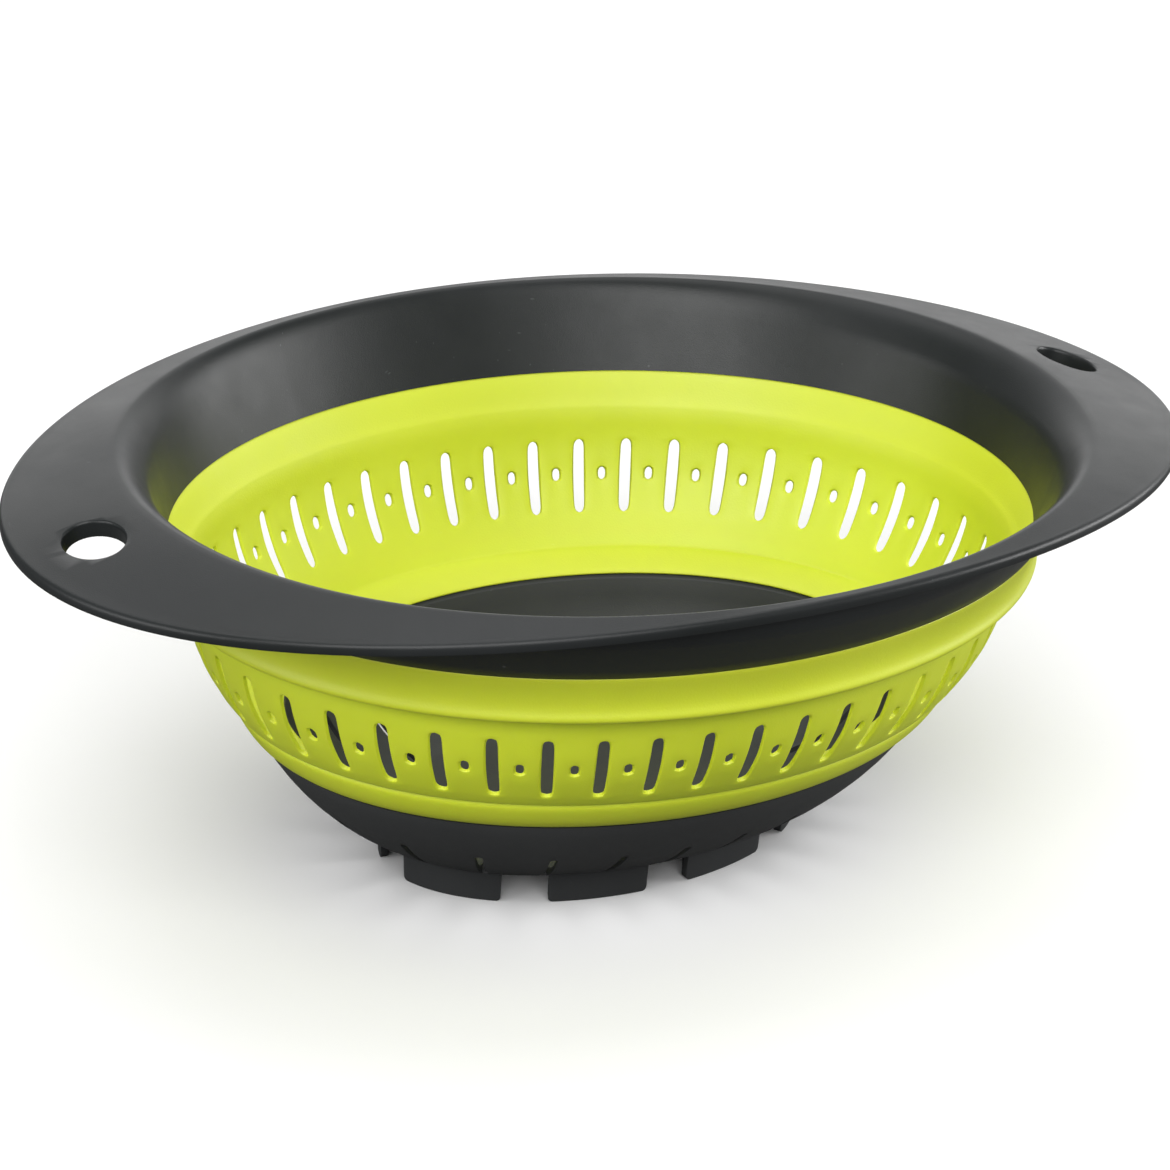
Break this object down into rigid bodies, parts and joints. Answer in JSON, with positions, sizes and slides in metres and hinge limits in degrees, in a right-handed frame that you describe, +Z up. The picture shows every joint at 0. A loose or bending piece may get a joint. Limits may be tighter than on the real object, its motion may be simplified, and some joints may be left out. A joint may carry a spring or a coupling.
{
  "type": "collapsible colander",
  "caption": "Collapsible oval colander: rigid rim with a hanging hole at each end, soft folding strainer wall with long slots, and a rigid base dish on a notched foot.",
  "frame": {"origin": "centre of the foot ring, on the plane of the feet's undersides", "axes": "+Z up, +X along the long axis towards one hanging hole, +Y across the bowl"},
  "size_m": [0.36, 0.2442, 0.1248],
  "materials": {
    "rim_plastic": "satin",
    "upper_collar_soft": "matte",
    "strainer_band_soft": "matte",
    "lower_collar_soft": "matte",
    "base_plastic": "satin"
  },
  "bodies": {
    "base": {"base_dish": "base_plastic", "lower_collar": "lower_collar_soft"},
    "band": {"strainer_band": "strainer_band_soft"},
    "rim": {"rim": "rim_plastic", "upper_collar": "upper_collar_soft"}
  },
  "joints": [
    {"name": "rim_collapse", "type": "slide", "parent": "base", "child": "rim", "axis": [0, 0, -1], "range_m": [0, 0.068]},
    {"name": "band_collapse", "type": "slide", "parent": "base", "child": "band", "axis": [0, 0, -1], "range_m": [0, 0.034]}
  ],
  "couplings": [
    {"joint": "band_collapse", "follows": "rim_collapse", "ratio": 0.5}
  ]
}
